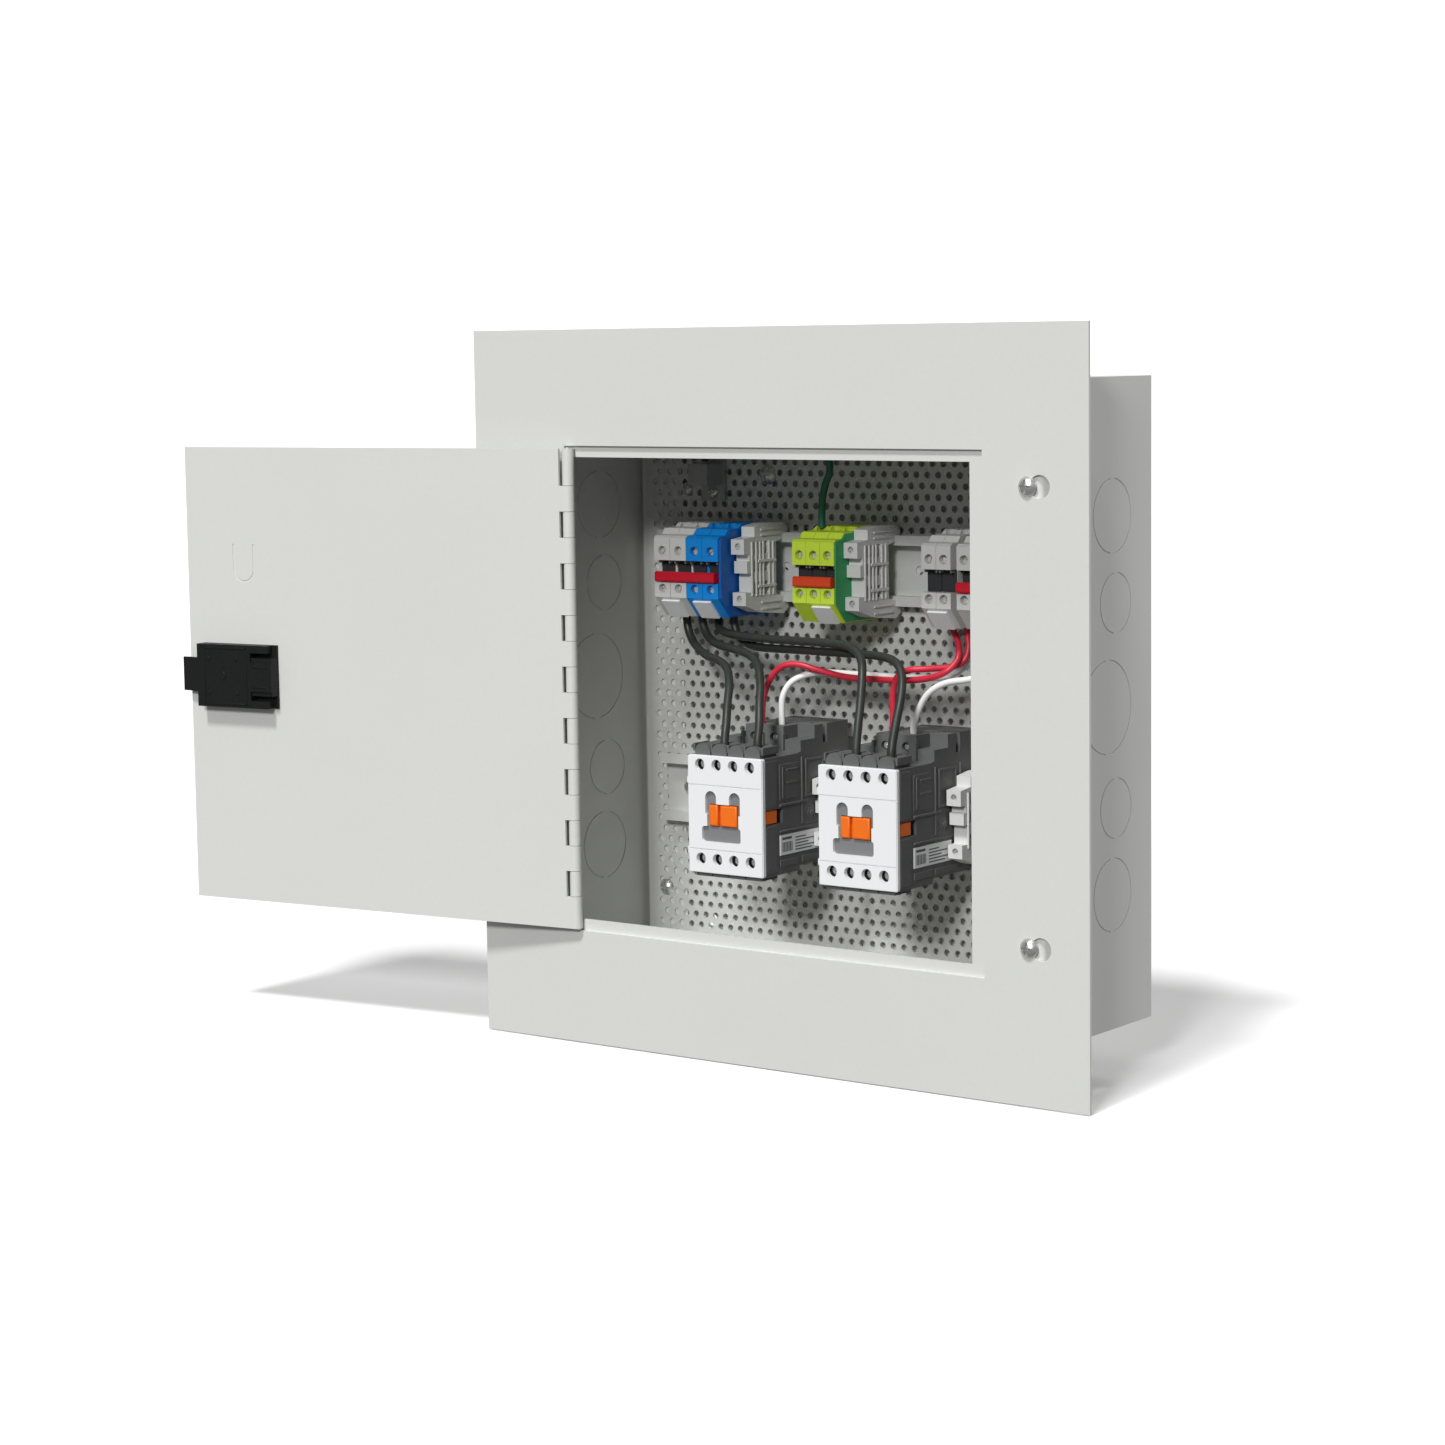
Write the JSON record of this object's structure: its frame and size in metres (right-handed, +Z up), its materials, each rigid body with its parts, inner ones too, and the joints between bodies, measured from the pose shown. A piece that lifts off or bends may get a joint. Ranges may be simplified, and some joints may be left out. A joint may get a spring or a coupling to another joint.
{
  "type": "load center",
  "caption": "Flush-mount load center cabinet, its hinged door standing open on rail-mounted terminal blocks and contactors with black, red and white leads.",
  "frame": {"origin": "centre of the back box's rear outer face", "axes": "+X to the right and +Z up as seen from the front, +Y towards the wall; the open front faces -Y"},
  "size_m": [0.5332, 0.1401, 0.3556],
  "materials": {
    "painted_steel": "smooth light grey enamel",
    "zinc_plate": "zinc-plated, satin",
    "bright_steel": "bright zinc plate",
    "black_plastic": "matte moulded",
    "grey_plastic": "matte moulded",
    "blue_plastic": "matte moulded",
    "green_plastic": "matte moulded",
    "red_plastic": "matte moulded",
    "white_plastic": "matte moulded",
    "charcoal_plastic": "matte moulded",
    "dark_grey_plastic": "matte moulded",
    "orange_plastic": "matte moulded",
    "copper": "plated copper alloy",
    "black_insulation": "semi-gloss",
    "red_insulation": "semi-gloss",
    "white_insulation": "semi-gloss",
    "green_insulation": "semi-gloss"
  },
  "bodies": {
    "cabinet": {"box_wrap": "painted_steel", "box_top": "painted_steel", "box_bottom": "painted_steel", "mounting_rail_left": "painted_steel", "mounting_rail_right": "painted_steel", "perforated_plate": "zinc_plate", "plate_screws": "bright_steel", "trim": "painted_steel", "trim_screws": "bright_steel", "hinge_pin": "bright_steel", "upper_din_rail": "bright_steel", "lower_din_rail": "bright_steel", "rail_screws": "bright_steel", "ground_lug": "bright_steel", "ground_screws": "bright_steel", "terminals_grey_left": "grey_plastic", "terminals_blue": "blue_plastic", "terminals_ground": "green_plastic", "terminals_grey_right": "grey_plastic", "terminal_screws": "bright_steel", "terminal_markers": "white_plastic", "jumper_left": "red_plastic", "jumper_ground": "red_plastic", "jumper_right": "red_plastic", "end_clamps_upper": "grey_plastic", "end_clamps_lower": "grey_plastic", "contactor_1_base": "charcoal_plastic", "contactor_1_body": "charcoal_plastic", "contactor_1_cover": "white_plastic", "contactor_1_guide": "dark_grey_plastic", "contactor_1_core": "bright_steel", "contactor_1_coil": "copper", "contactor_1_spring": "bright_steel", "contactor_1_terminals": "copper", "contactor_1_label": "white_plastic", "contactor_2_base": "charcoal_plastic", "contactor_2_body": "charcoal_plastic", "contactor_2_cover": "white_plastic", "contactor_2_guide": "dark_grey_plastic", "contactor_2_core": "bright_steel", "contactor_2_coil": "copper", "contactor_2_spring": "bright_steel", "contactor_2_terminals": "copper", "contactor_2_label": "white_plastic", "black_wires_1": "black_insulation", "black_wires_2": "black_insulation", "red_wires": "red_insulation", "white_wires": "white_insulation", "ground_wire": "green_insulation"},
    "door": {"door": "painted_steel", "latch_housing": "black_plastic", "latch_spring": "bright_steel"},
    "latch": {"latch_slide": "black_plastic"},
    "contactor_1_moving": {"contactor_1_carrier": "orange_plastic", "contactor_1_bridges": "copper", "contactor_1_armature": "bright_steel"},
    "contactor_2_moving": {"contactor_2_carrier": "orange_plastic", "contactor_2_bridges": "copper", "contactor_2_armature": "bright_steel"}
  },
  "joints": [
    {"name": "door_hinge", "type": "hinge", "parent": "cabinet", "child": "door", "pos_m": [-0.117, -0.1046, 0], "axis": [0, 0, 1], "range_deg": [-4.5, 173.5]},
    {"name": "latch_slide", "type": "slide", "parent": "door", "child": "latch", "axis": [0.9936, 0.1132, 0], "range_m": [0, 0.011], "stiffness_N_per_m": 150, "springref_m": -0.01, "deforming": ["latch_spring"]},
    {"name": "contactor_1_carrier", "type": "slide", "parent": "cabinet", "child": "contactor_1_moving", "axis": [0, 1, 0], "range_m": [0, 0.004], "stiffness_N_per_m": 500, "springref_m": -0.006, "deforming": ["contactor_1_spring"]},
    {"name": "contactor_2_carrier", "type": "slide", "parent": "cabinet", "child": "contactor_2_moving", "axis": [0, 1, 0], "range_m": [0, 0.004], "stiffness_N_per_m": 500, "springref_m": -0.006, "deforming": ["contactor_2_spring"]}
  ]
}
